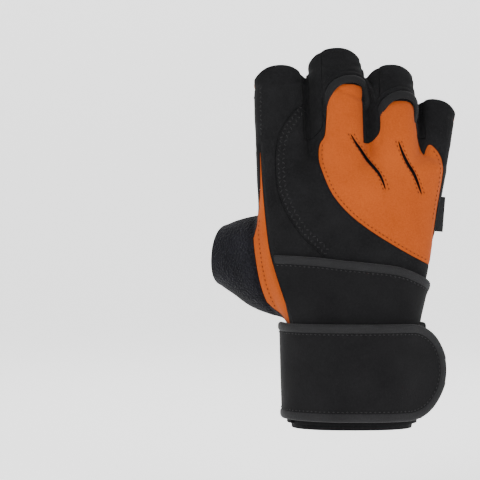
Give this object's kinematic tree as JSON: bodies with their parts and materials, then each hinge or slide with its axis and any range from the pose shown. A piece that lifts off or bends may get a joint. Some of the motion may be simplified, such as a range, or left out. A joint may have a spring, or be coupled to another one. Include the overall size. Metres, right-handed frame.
{
  "type": "weightlifting glove",
  "caption": "Fingerless right-hand training glove with a padded suede palm, a two-colour back, a terry thumb and a long wrist wrap.",
  "frame": {"origin": "middle of the cuff's lower opening, where the wrist goes in", "axes": "+Z towards the fingers, -Y the back of the hand, +Y the palm, -X the thumb side"},
  "size_m": [0.1349, 0.0679, 0.2044],
  "materials": {
    "palm_suede": "dark grey-black suede, matt, with stitched pads",
    "orange_cloth": "burnt-orange brushed stretch cloth, matt",
    "stretch_cloth": "black stretch cloth, fine knit, matt",
    "terry_cloth": "black looped terry",
    "wrap_cloth": "black brushed neoprene cloth",
    "hem_tape": "black folded binding tape with lock stitching"
  },
  "bodies": {
    "root": {"palm_panel": "palm_suede", "palm_bar_pad": "palm_suede", "palm_curve_pad": "palm_suede", "thumb_base_pad": "palm_suede", "back_panel": "orange_cloth", "radial_strip": "orange_cloth", "ulnar_stripe": "orange_cloth", "heel_trim": "orange_cloth", "heel_trim_side": "orange_cloth", "mouth_band_index": "orange_cloth", "mouth_band_middle": "orange_cloth", "mouth_band_ring": "orange_cloth", "mouth_band_little": "orange_cloth", "centre_back": "stretch_cloth", "index_back": "stretch_cloth", "middle_back": "stretch_cloth", "ring_back": "stretch_cloth", "little_back": "stretch_cloth", "side_index_middle": "stretch_cloth", "side_middle_ring": "stretch_cloth", "side_ring_little": "stretch_cloth", "pull_tab_middle": "stretch_cloth", "pull_tab_ring": "stretch_cloth", "inner_cuff": "stretch_cloth", "thumb_sleeve": "terry_cloth", "wrap_layer": "wrap_cloth", "strap": "wrap_cloth", "wrap_tape": "hem_tape", "strap_tape": "hem_tape", "side_tag": "hem_tape"}
  },
  "joints": []
}
